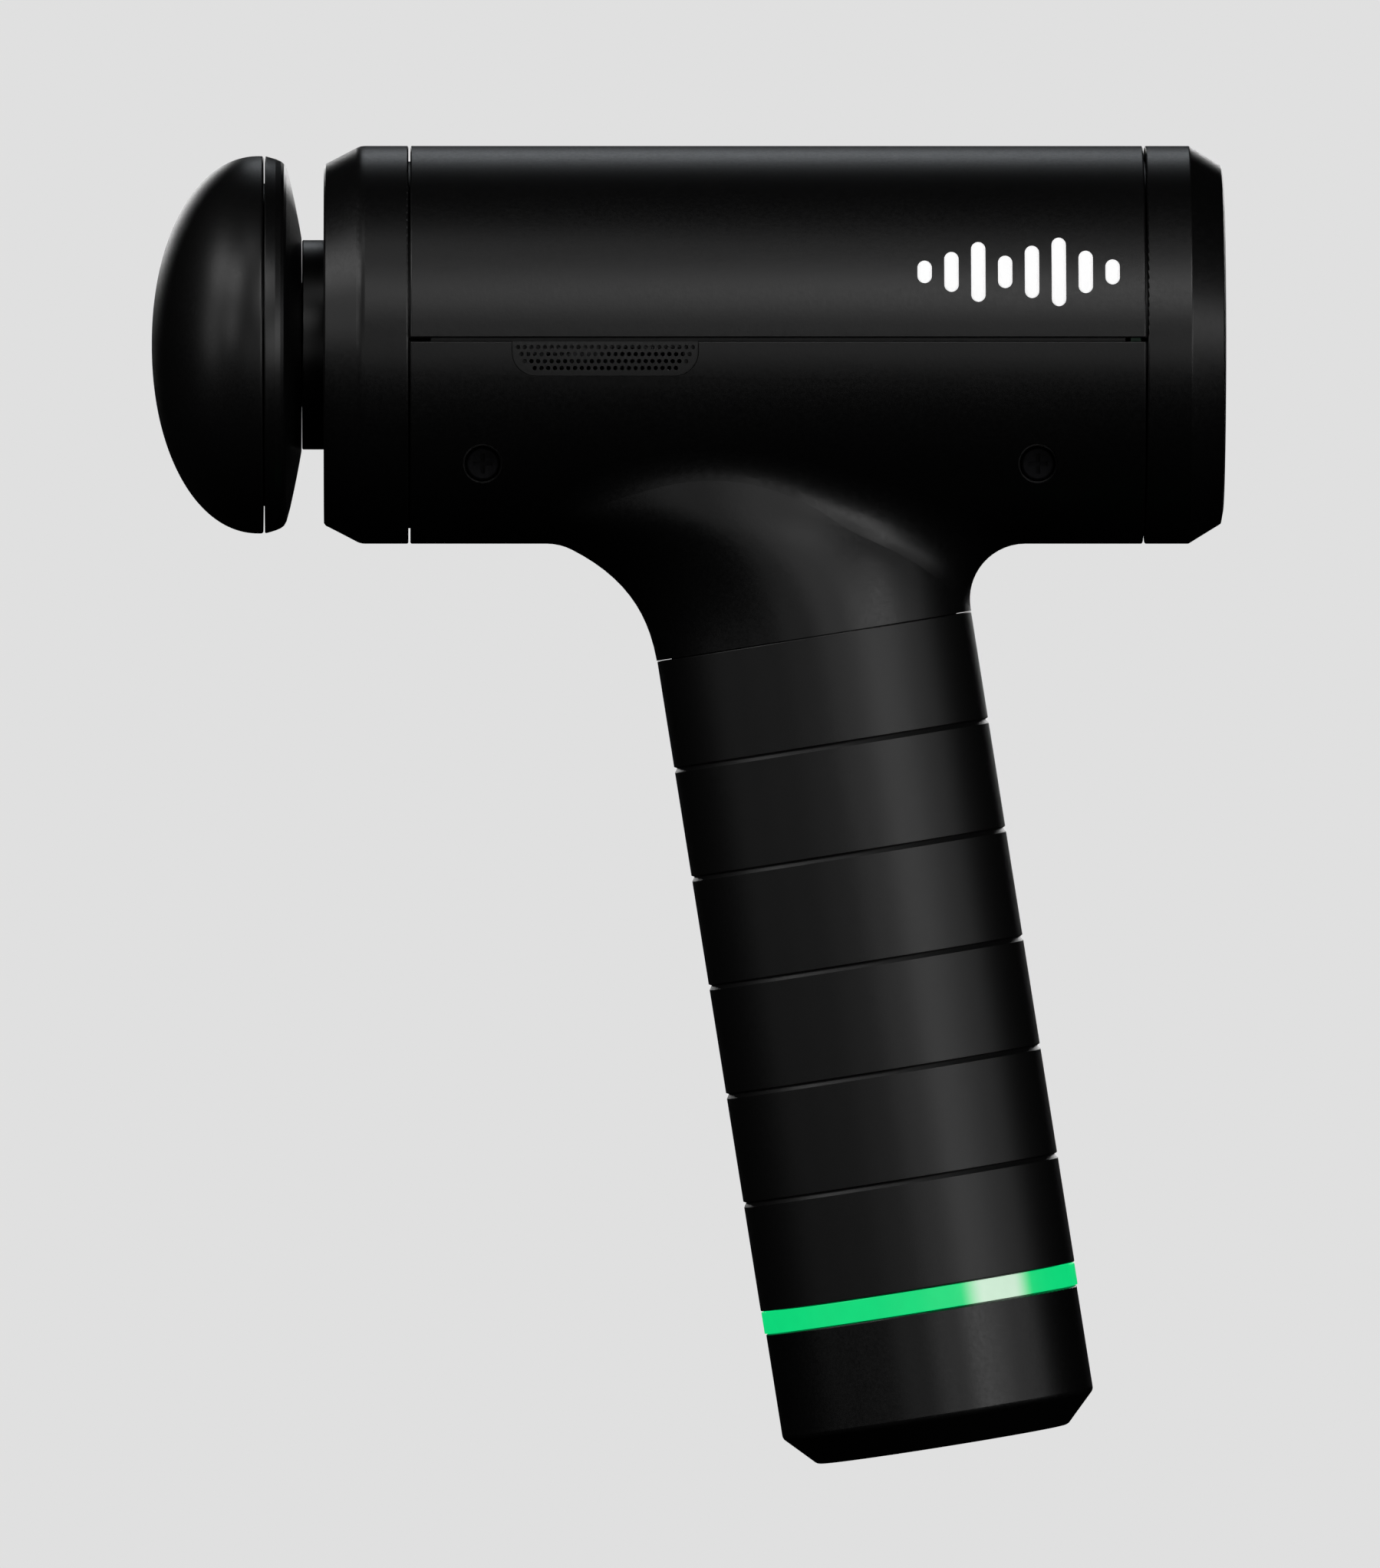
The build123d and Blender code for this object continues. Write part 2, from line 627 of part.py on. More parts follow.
with BuildPart() as base_screws:
    for x, y in BASE_SCREW_PLACES:
        floor = across_handle(172.5)
        seat = Plane(origin=floor.from_local_coords(Vector(x, y, 0)), x_dir=HANDLE_REAR, z_dir=-HANDLE_DOWN)
        add(screw(seat, 2.7, 1.9, 1.45, 14.0))
save(base_screws, "base_screws")

with BuildPart() as charge_socket:
    for plane, radius, tall in (
        (across_handle(SOCKET_MOUTH_H - 2.7), 3.95, 2.7),
        (across_handle(165.5), 5.6, BASE_END_H - 2.65 - 165.5),
    ):
        with BuildSketch(plane):
            Circle(radius)
        extrude(amount=tall)
    with BuildSketch(across_handle(SOCKET_MOUTH_H - SOCKET_DEEP)):
        Circle(SOCKET_BORE_R)
    extrude(amount=SOCKET_DEEP + 1, mode=Mode.SUBTRACT)
    with BuildSketch(across_handle(160)):
        Circle(PIN_ROOT_R + 0.03)
    extrude(amount=20, mode=Mode.SUBTRACT)
save(charge_socket, "charge_socket")

with BuildPart() as charge_pin:
    with BuildSketch(across_handle(165.6)):
        Circle(PIN_ROOT_R)
    extrude(amount=SOCKET_MOUTH_H - SOCKET_DEEP - 165.6)
    with BuildSketch(across_handle(SOCKET_MOUTH_H - SOCKET_DEEP)):
        Circle(1.0)
    extrude(amount=SOCKET_DEEP - 0.6)
save(charge_pin, "charge_pin")

# ---------------------------------------------------------------- battery

CELL_R = 9.15
CELL_PLACE_R = 10.62
CELL_TOP_H = 62.0
CELL_END_H = 127.0
CELL_ANGLES = (60, 180, 300)

with BuildPart() as battery_cells:
    for angle in CELL_ANGLES:
        for h, radius, tall in ((CELL_TOP_H, 2.9, 3.0), (CELL_TOP_H + 0.9, CELL_R, CELL_END_H - CELL_TOP_H - 0.9)):
            with BuildSketch(across_handle(h)):
                with PolarLocations(CELL_PLACE_R, 1, start_angle=angle):
                    Circle(radius)
            extrude(amount=tall)
save(battery_cells, "battery_cells")

with BuildPart() as cell_links:
    for h in (CELL_TOP_H - 0.4, CELL_END_H + 0.05):
        with BuildSketch(across_handle(h)):
            with PolarLocations(CELL_PLACE_R * 0.5, 3, start_angle=60):
                Rectangle(CELL_PLACE_R, 5)
            with PolarLocations(CELL_PLACE_R, 3, start_angle=60):
                Circle(3.6)
        extrude(amount=0.35)
save(cell_links, "cell_links")

for name, plate_h, skirt_h in (
    ("cell_holder_upper", CELL_TOP_H - 4.5, CELL_TOP_H - 0.6),
    ("cell_holder_lower", CELL_END_H + 0.45, CELL_END_H - 6.0),
):
    with BuildPart() as holder:
        with BuildSketch(across_handle(plate_h)):
            Circle(CORE_BORE_R - 0.2)
            Circle(3.0, mode=Mode.SUBTRACT)
        extrude(amount=4.0)
        with BuildSketch(across_handle(skirt_h)):
            Circle(CORE_BORE_R - 0.2)
            Circle(CORE_BORE_R - 1.2, mode=Mode.SUBTRACT)
        extrude(amount=6.6)
        if name == "cell_holder_lower":
            with BuildSketch(across_handle(plate_h + 4)):
                with Locations(*BASE_SCREW_PLACES):
                    Circle(3.2)
            extrude(amount=166.0 - plate_h - 4)
            with BuildSketch(across_handle(166.0)):
                with Locations(*BASE_SCREW_PLACES):
                    Circle(1.5)
            extrude(amount=-9, mode=Mode.SUBTRACT)
        add(lead_room.part, mode=Mode.SUBTRACT)
    save(holder, name)

with BuildPart() as battery_board:
    with BuildSketch(across_handle(134.0)):
        Circle(CORE_BORE_R - 0.3)
        with Locations(*BASE_SCREW_PLACES):
            Circle(3.3, mode=Mode.SUBTRACT)
    extrude(amount=1.6)
    with BuildSketch(across_handle(135.6)):
        with Locations((-8, 6), (2, -7)):
            Rectangle(5, 4)
        with Locations((10, -9), (0, 0)):
            Rectangle(3, 3)
    extrude(amount=1.2)
save(battery_board, "battery_board")

# ---------------------------------------------------------------- drive frame and its bush

FLOOR_Z = -10.0
FLOOR_THICK = 3.0
HUB_R = 11.0
HUB_FRONT_X = -29.0
BUSH_R = 9.0
ROD_R = 7.0
RUNNING = 0.05
MOTOR_SCREW_R = 12.2

with BuildPart() as drive_frame:
    for x0, x1 in BULKHEADS.values():
        with BuildSketch(across_barrel(x0)):
            Circle(FRAME_R)
        extrude(amount=x1 - x0)
    with BuildSketch(across_barrel(HUB_FRONT_X)):
        Circle(HUB_R)
    extrude(amount=BULKHEADS["front"][0] - HUB_FRONT_X)
    with BuildSketch(across_barrel(BULKHEADS["front"][1] - 1)):
        with Locations((0, FLOOR_Z)):
            Rectangle(40, FLOOR_THICK, align=(Align.CENTER, Align.MAX))
    extrude(amount=BULKHEADS["rear"][0] - BULKHEADS["front"][1] + 2)
    # Gussets between the hub and the front bulkhead.
    for turn in (45, 135, 225, 315):
        with BuildSketch(Plane(BARREL_PROFILE.origin, x_dir=(1, 0, 0), z_dir=(0, -1, 0)).rotated((turn, 0, 0))):
            with BuildLine():
                Polyline((-25, HUB_R - 0.5), (-11.5, 22.0), (-11.5, HUB_R - 0.5), close=True)
            make_face()
        extrude(amount=1.2, both=True)
    with BuildSketch(across_barrel(HUB_FRONT_X - 1)):
        Circle(BUSH_R + 0.03)
    extrude(amount=23, mode=Mode.SUBTRACT)
    with BuildSketch(across_barrel(35)):
        Circle(14)
    extrude(amount=6, mode=Mode.SUBTRACT)
    with BuildSketch(level(FLOOR_Z)):
        Circle(8.05)
    extrude(amount=-5, mode=Mode.SUBTRACT)
    for radius, deep in ((2.65, 2.0), (1.3, 5.0)):
        with BuildSketch(level(FLOOR_Z)):
            with PolarLocations(MOTOR_SCREW_R, 4, start_angle=45):
                Circle(radius)
        extrude(amount=-deep, mode=Mode.SUBTRACT)
save(drive_frame, "drive_frame")

with BuildPart() as guide_bush:
    add(ring(across_barrel(HUB_FRONT_X), BUSH_R, ROD_R + RUNNING, BULKHEADS["front"][1] - HUB_FRONT_X))
save(guide_bush, "guide_bush")

# ---------------------------------------------------------------- motor, standing upright under the frame's floor

with BuildPart() as motor_base:
    points = [
        (5.0, FLOOR_Z),
        (8.0, FLOOR_Z),
        (8.0, FLOOR_Z - FLOOR_THICK - 0.05),
        (16.4, FLOOR_Z - FLOOR_THICK - 0.05),
        (16.4, -15.0),
        (6.9, -15.0),
        (6.9, -31.0),
        (5.0, -31.0),
    ]
    add(turned(MOTOR_PROFILE, MOTOR_AXIS, points))
    with BuildSketch(level(FLOOR_Z)):
        with PolarLocations(MOTOR_SCREW_R, 4, start_angle=45):
            Circle(1.25)
    extrude(amount=-4.8, mode=Mode.SUBTRACT)
save(motor_base, "motor_base")

with BuildPart() as motor_screws:
    for angle in (45, 135, 225, 315):
        x = MOTOR_X + MOTOR_SCREW_R * cos(radians(angle))
        y = MOTOR_SCREW_R * sin(radians(angle))
        seat = Plane(origin=(x, y, AXIS_Z + FLOOR_Z - 2.0), x_dir=(1, 0, 0), z_dir=(0, 0, -1))
        add(screw(seat, 2.5, 1.8, 1.2, 2.7))
save(motor_screws, "motor_screws")

with BuildPart() as motor_bearings:
    for z in (-14.0, -30.6):
        add(ring(level(z), 4.97, 2.5 + RUNNING, 3.0))
save(motor_bearings, "motor_bearings")

TEETH = 9
STATOR_Z = (-31.0, -18.0)

with BuildPart() as motor_stator:
    with BuildSketch(level(STATOR_Z[0])):
        Circle(16.2)
        Circle(14.9, mode=Mode.SUBTRACT)
        with PolarLocations(15.5, TEETH, start_angle=180 / TEETH):
            Rectangle(4, 1.6, mode=Mode.SUBTRACT)
        with PolarLocations(11.8, TEETH):
            Rectangle(7.0, 2.4)
        Circle(9.2)
        Circle(6.95, mode=Mode.SUBTRACT)
    extrude(amount=STATOR_Z[1] - STATOR_Z[0])
save(motor_stator, "motor_stator")

with BuildPart() as motor_windings:
    with BuildSketch(level(STATOR_Z[0] - 1.3)):
        with PolarLocations(12.1, TEETH):
            Rectangle(4.8, 5.6)
    extrude(amount=STATOR_Z[1] - STATOR_Z[0] + 2.6)
    with BuildSketch(level(STATOR_Z[0] - 0.03)):
        with PolarLocations(12.1, TEETH):
            Rectangle(6, 2.46)
    extrude(amount=STATOR_Z[1] - STATOR_Z[0] + 0.06, mode=Mode.SUBTRACT)
save(motor_windings, "motor_windings")

BELL_R = 19.0

with BuildPart() as rotor_bell:
    points = [
        (2.5, -34.0),
        (BELL_R, -34.0),
        (BELL_R, -15.6),
        (BELL_R - 1.2, -15.6),
        (BELL_R - 1.2, -32.7),
        (2.5, -32.7),
    ]
    add(turned(MOTOR_PROFILE, MOTOR_AXIS, points, [(0.8, points[1])]))
    with BuildSketch(level(-35)):
        with PolarLocations(11.5, 6):
            Circle(3.2)
    extrude(amount=4, mode=Mode.SUBTRACT)
save(rotor_bell, "rotor_bell")

with BuildPart() as rotor_magnets:
    with BuildSketch(level(-32.0)):
        Circle(BELL_R - 1.25)
        Circle(16.6, mode=Mode.SUBTRACT)
        with PolarLocations(17, 12):
            Rectangle(4, 0.6, mode=Mode.SUBTRACT)
    extrude(amount=15)
save(rotor_magnets, "rotor_magnets")

with BuildPart() as motor_shaft:
    with BuildSketch(level(-34.0)):
        Circle(2.5)
    extrude(amount=29.2)
save(motor_shaft, "motor_shaft")

with BuildPart() as cooling_fan:
    with BuildSketch(level(-34.9)):
        Circle(18)
        Circle(9.0, mode=Mode.SUBTRACT)
    extrude(amount=0.85)
    with BuildSketch(level(-39.0)):
        Circle(6)
    extrude(amount=4.95)
    with BuildSketch(level(-39.0)):
        with PolarLocations(11.6, 9):
            Rectangle(12.4, 1.2, rotation=18)
    extrude(amount=4.3)
save(cooling_fan, "cooling_fan")

CRANK_DISC_R = 15.0
PIN_R = 2.5
ROLLER_R = 6.5

with BuildPart() as crank_disc:
    with BuildSketch(level(-9.0)):
        Circle(CRANK_DISC_R)
        Circle(2.5, mode=Mode.SUBTRACT)
        with Locations((CRANK_R, 0)):
            Circle(PIN_R, mode=Mode.SUBTRACT)
        with Locations((8.0, 8.6), (8.0, -8.6)):
            Circle(2.8, mode=Mode.SUBTRACT)
    extrude(amount=4.2)
    fillet(crank_disc.edges().filter_by(GeomType.CIRCLE).filter_by(lambda e: e.radius > CRANK_DISC_R - 0.1), 0.4)
save(crank_disc, "crank_disc")

with BuildPart() as crank_pin:
    with BuildSketch(level(-9.0, MOTOR_X + CRANK_R)):
        Circle(PIN_R)
    extrude(amount=12.6)
save(crank_pin, "crank_pin")

with BuildPart() as crank_bearing:
    add(ring(level(-3.0, MOTOR_X + CRANK_R), ROLLER_R, PIN_R + 0.02, 6.0))
save(crank_bearing, "crank_bearing")

# ---------------------------------------------------------------- plunger

YOKE_X = MOTOR_X + CRANK_R
SLOT_HALF = 7.95
YOKE_HALF = 11.95
YOKE_Z = 4.0
STEM_R = 10.0
LINER_R = 11.5
SOCKET_END_X = -42.0
PISTON_REAR_X = -38.0

with BuildPart() as plunger_piston:
    points = [
        (COLLAR_X, LINER_R + 0.02),
        (COLLAR_X, COLLAR_R),
        (PISTON_REAR_X, COLLAR_R),
        (PISTON_REAR_X, 0),
        (SOCKET_END_X, 0),
        (SOCKET_END_X, LINER_R + 0.02),
    ]
    add(turned(BARREL_PROFILE, BARREL_AXIS, points, [(0.25, points[1]), (0.6, points[2])]))
save(plunger_piston, "plunger_piston")

with BuildPart() as socket_liner:
    add(ring(across_barrel(SOCKET_END_X - 0.02), LINER_R, STEM_R + RUNNING, COLLAR_X - SOCKET_END_X + 0.5))
save(socket_liner, "socket_liner")

with BuildPart() as plunger_rod:
    with BuildSketch(across_barrel(PISTON_REAR_X + 0.02)):
        Circle(ROD_R)
    extrude(amount=YOKE_X - YOKE_HALF - PISTON_REAR_X - 0.04)
    # The rear end is flattened to pass over the crank disc.
    with BuildSketch(across_barrel(-3.5)):
        Rectangle(20, 20)
        Rectangle(20, 2 * YOKE_Z, mode=Mode.SUBTRACT)
    extrude(amount=20, mode=Mode.SUBTRACT)
    with BuildSketch(across_barrel(YOKE_X - YOKE_HALF)):
        Circle(1.5)
    extrude(amount=-8.5, mode=Mode.SUBTRACT)
save(plunger_rod, "plunger_rod")

with BuildPart() as drive_yoke:
    with BuildSketch(level(-YOKE_Z, YOKE_X)):
        RectangleRounded(2 * YOKE_HALF, 33, 3)
        RectangleRounded(2 * SLOT_HALF, 26, 3, mode=Mode.SUBTRACT)
    extrude(amount=2 * YOKE_Z)
    with BuildSketch(across_barrel(YOKE_X - YOKE_HALF - 1)):
        Circle(1.6)
    extrude(amount=6, mode=Mode.SUBTRACT)
    with BuildSketch(across_barrel(YOKE_X - SLOT_HALF - 2.0)):
        Circle(2.8)
    extrude(amount=4, mode=Mode.SUBTRACT)
save(drive_yoke, "drive_yoke")

with BuildPart() as yoke_screw:
    seat = Plane(origin=(YOKE_X - SLOT_HALF - 2.0, 0, AXIS_Z), x_dir=(0, 1, 0), z_dir=(-1, 0, 0))
    add(screw(seat, 2.65, 1.8, 1.4, 9.5))
save(yoke_screw, "yoke_screw")

# ---------------------------------------------------------------- head

CUSHION_BELLY_X = -69.4
CUSHION_DEEP = 17.2
CUSHION_POWER = 2.08
STEM_END_X = -43.0
RETAINER_R = 26.0


def cushion_r(x):
    """The cushion's radius at x, from its widest circle to its tip."""
    along = (CUSHION_BELLY_X - x) / CUSHION_DEEP
    return HEAD_R * max(1 - along**CUSHION_POWER, 0) ** (1 / CUSHION_POWER)


with BuildPart() as head_cushion:
    with BuildSketch(BARREL_PROFILE) as cushion_profile:
        with BuildLine():
            steps = (0.22, 0.42, 0.6, 0.75, 0.87, 0.95, 0.99)
            dome = [(CUSHION_BELLY_X - k * CUSHION_DEEP, cushion_r(CUSHION_BELLY_X - k * CUSHION_DEEP)) for k in steps]
            Spline((CUSHION_BELLY_X, HEAD_R), *dome, (HEAD_TIP_X, 0), tangents=((-1, 0), (0, -1)))
            Polyline(
                (HEAD_TIP_X, 0),
                (HEAD_SEAM_X - 2.6, 0),
                (HEAD_SEAM_X - 2.6, RETAINER_R),
                (HEAD_SEAM_X - 0.12, RETAINER_R),
                (HEAD_SEAM_X - 0.12, HEAD_R - 0.25),
                (HEAD_SEAM_X - 0.45, HEAD_R),
                (CUSHION_BELLY_X, HEAD_R),
            )
        make_face()
    revolve(axis=BARREL_AXIS)
save(head_cushion, "head_cushion")

with BuildPart() as head_base:
    points = [
        (HEAD_SEAM_X - 2.55, 0),
        (HEAD_SEAM_X - 2.55, RETAINER_R - 0.05),
        (HEAD_SEAM_X + 0.12, RETAINER_R - 0.05),
        (HEAD_SEAM_X + 0.12, HEAD_R),
        (-67.5, 30.12),
        (-66.65, 29.87),
        (-65.8, 29.5),
        (-65.3, 29.1),
        (-64.9, 28.4),
        (-64.3, 26.2),
        (-63.7, 23.45),
        (-63.2, 21.0),
        (-62.75, 18.6),
        (COLLAR_X - 0.1, COLLAR_R + 0.3),
        (COLLAR_X - 0.1, STEM_R),
        (-66.0, STEM_R),
        (-66.0, 0),
    ]
    add(turned(BARREL_PROFILE, BARREL_AXIS, points, [(0.2, points[3])]))
save(head_base, "head_base")

STEM_RINGS = (-57.5, -48.5)
RING_ROOT_R = 8.8

with BuildPart() as head_stem:
    points = [(-65.97, 0), (-65.97, STEM_R - 0.02), (COLLAR_X - 0.1, STEM_R - 0.02), (COLLAR_X - 0.1, STEM_R)]
    for x in STEM_RINGS:
        points += [(x - 1, STEM_R), (x - 1, RING_ROOT_R), (x + 1, RING_ROOT_R), (x + 1, STEM_R)]
    points += [(STEM_END_X - 1.2, STEM_R), (STEM_END_X, STEM_R - 1.2), (STEM_END_X, 0)]
    add(turned(BARREL_PROFILE, BARREL_AXIS, points))
save(head_stem, "head_stem")

with BuildPart() as stem_rings:
    for x in STEM_RINGS:
        points = [(x - 0.9, RING_ROOT_R + 0.03), (x - 0.9, 10.02), (x + 0.9, 10.02), (x + 0.9, RING_ROOT_R + 0.03)]
        add(turned(BARREL_PROFILE, BARREL_AXIS, points, [(0.35, points[1], points[2])]))
save(stem_rings, "stem_rings")

# ---------------------------------------------------------------- electronics behind the drive

BOARD_X = (43.0, 67.5)

with BuildPart() as main_board:
    with BuildSketch(level(BOARD_Z, sum(BOARD_X) / 2)):
        RectangleRounded(BOARD_X[1] - BOARD_X[0], 34, 1.5)
    extrude(amount=1.6)
save(main_board, "main_board")

with BuildPart() as board_capacitors:
    for x in (50.0, 59.5):
        with BuildSketch(level(BOARD_Z + 1.65, x)):
            with Locations((0, -9)):
                Circle(4)
        extrude(amount=11)
save(board_capacitors, "board_capacitors")

with BuildPart() as board_chips:
    with BuildSketch(level(BOARD_Z + 1.65, 0)):
        with Locations((49, 9), (60, 9)):
            Rectangle(7, 7)
        with Locations((47, 1.5), (53, 1.5), (59, 1.5)):
            Rectangle(4, 3)
    extrude(amount=1.3)
save(board_chips, "board_chips")

# ---------------------------------------------------------------- screws that close the housings

with BuildPart() as housing_screws:
    for x, z in BARREL_SCREWS:
        place = side_on(RECESS_FLOOR_Y).shift_origin(Vector(x, RECESS_FLOOR_Y, AXIS_Z + z))
        add(screw(Plane(place.origin, x_dir=(1, 0, 0), z_dir=(0, 1, 0)), 2.85, 1.9, 1.45, 30.5))
    for h in HANDLE_SCREWS:
        place = handle_side(0, h, HANDLE_FLOOR_Y)
        add(screw(Plane(place.origin, x_dir=(1, 0, 0), z_dir=(0, 1, 0)), 2.85, 1.9, 1.45, 28.5))
save(housing_screws, "housing_screws")
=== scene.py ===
import math

import bmesh
import bpy
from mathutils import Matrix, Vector


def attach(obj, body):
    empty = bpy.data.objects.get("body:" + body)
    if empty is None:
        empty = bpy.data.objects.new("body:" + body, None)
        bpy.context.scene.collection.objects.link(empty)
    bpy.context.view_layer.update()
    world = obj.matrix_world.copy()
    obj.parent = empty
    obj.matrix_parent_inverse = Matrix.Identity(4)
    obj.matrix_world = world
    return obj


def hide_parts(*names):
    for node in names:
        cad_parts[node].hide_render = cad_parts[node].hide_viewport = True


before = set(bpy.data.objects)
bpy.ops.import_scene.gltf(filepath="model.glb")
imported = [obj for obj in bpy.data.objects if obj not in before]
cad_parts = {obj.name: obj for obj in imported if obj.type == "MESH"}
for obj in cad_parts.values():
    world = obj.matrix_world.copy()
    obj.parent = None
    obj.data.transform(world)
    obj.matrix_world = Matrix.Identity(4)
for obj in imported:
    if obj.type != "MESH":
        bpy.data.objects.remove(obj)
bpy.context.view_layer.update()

# ---------------------------------------------------------------- places, in metres

MM = 0.001
TILT = math.radians(9.05)
AXIS_Z = 0.180016
HANDLE_X = 0.0125
REAR = Vector((math.cos(TILT), 0, math.sin(TILT)))
TOP = Vector((HANDLE_X, 0, AXIS_Z))


# ---------------------------------------------------------------- materials

PLASTIC_SPREAD = 0.04  # how far roughness wanders either side of its value
METAL_SPREAD = 0.08
PAINTED_REFLECTION_RISE = (0.0062, 0.0102)  # where the ring turns from green to its painted reflection, a pale band, from its middle toward the rear
PAINTED_REFLECTION_FALL = (0.0182, 0.0150)  # and where it is green again
RING_GREEN = (0.0033, 0.672, 0.190, 1)
# colour of the painted reflection of a lamp on the lens, given as glow
RING_PAINTED_REFLECTION = (0.60, 0.79, 0.63, 1)


def material(name):
    m = bpy.data.materials.new(name)
    m.use_nodes = True
    nt = m.node_tree
    return m, nt, nt.nodes["Principled BSDF"]


def link(nt, a, b):
    """Joins output a to input b."""
    nt.links.new(a, b)


def noise(nt, scale, detail=2.0, rough=0.5, stretch=None):
    """A noise texture in object space, whose scale is in features a metre."""
    coord = nt.nodes.new("ShaderNodeTexCoord")
    tex = nt.nodes.new("ShaderNodeTexNoise")
    tex.inputs["Scale"].default_value = scale
    tex.inputs["Detail"].default_value = detail
    tex.inputs["Roughness"].default_value = rough
    source = coord.outputs["Object"]
    if stretch:
        mapping = nt.nodes.new("ShaderNodeMapping")
        mapping.inputs["Scale"].default_value = stretch
        link(nt, source, mapping.inputs["Vector"])
        source = mapping.outputs["Vector"]
    link(nt, source, tex.inputs["Vector"])
    return tex


def ramp(nt, source, low, high, stops=(0.3, 0.7)):
    """Maps a texture's factor to a value between low and high."""
    node = nt.nodes.new("ShaderNodeMapRange")
    node.inputs["From Min"].default_value = stops[0]
    node.inputs["From Max"].default_value = stops[1]
    node.inputs["To Min"].default_value = low
    node.inputs["To Max"].default_value = high
    link(nt, source, node.inputs["Value"])
    return node.outputs["Result"]


def tint(nt, source, low, high, stops=(0.3, 0.7)):
    """Maps a texture's factor to a colour between low and high."""
    node = nt.nodes.new("ShaderNodeValToRGB")
    node.color_ramp.elements[0].position = stops[0]
    node.color_ramp.elements[1].position = stops[1]
    node.color_ramp.elements[0].color = (*low, 1)
    node.color_ramp.elements[1].color = (*high, 1)
    link(nt, source, node.inputs["Fac"])
    return node.outputs["Color"]


def bump(nt, shader, height, distance, strength=1.0, after=None):
    """Adds relief to a shader, on top of an earlier relief where one is given."""
    node = nt.nodes.new("ShaderNodeBump")
    node.inputs["Distance"].default_value = distance
    node.inputs["Strength"].default_value = strength
    link(nt, height, node.inputs["Height"])
    if after:
        link(nt, after, node.inputs["Normal"])
    link(nt, node.outputs["Normal"], shader.inputs["Normal"])
    return node.outputs["Normal"]


def moulded(name, base, roughness, grain=3600, depth=0.000012):
    """Moulded plastic, rubber or dark coating: fine grain, faint cloudiness in tone, uneven gloss."""
    m, nt, s = material(name)
    cloud = noise(nt, 38, 3)
    darker = [c * 0.85 for c in base]
    paler = [c * 1.15 for c in base]
    link(nt, tint(nt, cloud.outputs["Fac"], darker, paler), s.inputs["Base Color"])
    fine = noise(nt, grain, 3, 0.6)
    gloss = ramp(nt, fine.outputs["Fac"], roughness - PLASTIC_SPREAD, roughness + PLASTIC_SPREAD)
    link(nt, gloss, s.inputs["Roughness"])
    swell = noise(nt, 160, 2)
    first = bump(nt, s, swell.outputs["Fac"], 0.000012, 0.5)
    bump(nt, s, fine.outputs["Fac"], depth, 1.0, first)
    return m


def metal(name, base, roughness, stretch=(1, 1, 1), grain=900):
    """Bare metal with a fine grain, drawn out along one axis where it is brushed."""
    m, nt, s = material(name)
    s.inputs["Metallic"].default_value = 1.0
    tex = noise(nt, grain, 3, 0.6, stretch)
    link(nt, tint(nt, tex.outputs["Fac"], [c * 0.8 for c in base], base), s.inputs["Base Color"])
    gloss = ramp(nt, tex.outputs["Fac"], roughness - METAL_SPREAD, roughness + METAL_SPREAD)
    link(nt, gloss, s.inputs["Roughness"])
    bump(nt, s, tex.outputs["Fac"], 0.00001, 0.6)
    return m


def board(name):
    """Solder mask over faint tracks."""
    m, nt, s = material(name)
    coord = nt.nodes.new("ShaderNodeTexCoord")
    brick = nt.nodes.new("ShaderNodeTexBrick")
    brick.inputs["Scale"].default_value = 260
    brick.inputs["Mortar Size"].default_value = 0.05
    brick.inputs["Color1"].default_value = (0.006, 0.05, 0.026, 1)
    brick.inputs["Color2"].default_value = (0.008, 0.062, 0.034, 1)
    brick.inputs["Mortar"].default_value = (0.03, 0.16, 0.08, 1)
    link(nt, coord.outputs["Object"], brick.inputs["Vector"])
    link(nt, brick.outputs["Color"], s.inputs["Base Color"])
    tex = noise(nt, 2600, 2)
    link(nt, ramp(nt, tex.outputs["Fac"], 0.28, 0.42), s.inputs["Roughness"])
    bump(nt, s, brick.outputs["Fac"], 0.00003, 0.5)
    return m


def wound(name, base, pitch, direction):
    """Enamelled wire in close turns, with painted shade darkening the grooves between turns."""
    m, nt, s = material(name)
    s.inputs["Metallic"].default_value = 0.85
    coord = nt.nodes.new("ShaderNodeTexCoord")
    wave = nt.nodes.new("ShaderNodeTexWave")
    wave.bands_direction = direction
    wave.inputs["Scale"].default_value = pitch
    wave.inputs["Distortion"].default_value = 0.6
    link(nt, coord.outputs["Object"], wave.inputs["Vector"])
    # painted shade: the colour darkens toward the grooves between turns
    between = [c * 0.35 for c in base]
    link(nt, tint(nt, wave.outputs["Fac"], between, base, (0.1, 0.8)), s.inputs["Base Color"])
    link(nt, ramp(nt, wave.outputs["Fac"], 0.42, 0.28), s.inputs["Roughness"])
    bump(nt, s, wave.outputs["Fac"], 0.00012, 0.8)
    return m


def wrapped(name, base):
    """Heat-shrunk sleeve on a cell: glossy film with faint lengthwise creases."""
    m, nt, s = material(name)
    tex = noise(nt, 240, 3, 0.55, (1, 1, 0.15))
    link(nt, tint(nt, tex.outputs["Fac"], [c * 0.75 for c in base], base), s.inputs["Base Color"])
    link(nt, ramp(nt, tex.outputs["Fac"], 0.22, 0.36), s.inputs["Roughness"])
    bump(nt, s, tex.outputs["Fac"], 0.00006, 0.5)
    return m


def jacket(name, base):
    """A lead's soft jacket with a fine grain."""
    m, nt, s = material(name)
    tex = noise(nt, 1800, 3)
    link(nt, tint(nt, tex.outputs["Fac"], [c * 0.7 for c in base], base), s.inputs["Base Color"])
    link(nt, ramp(nt, tex.outputs["Fac"], 0.4, 0.55), s.inputs["Roughness"])
    bump(nt, s, tex.outputs["Fac"], 0.00002, 0.6)
    return m


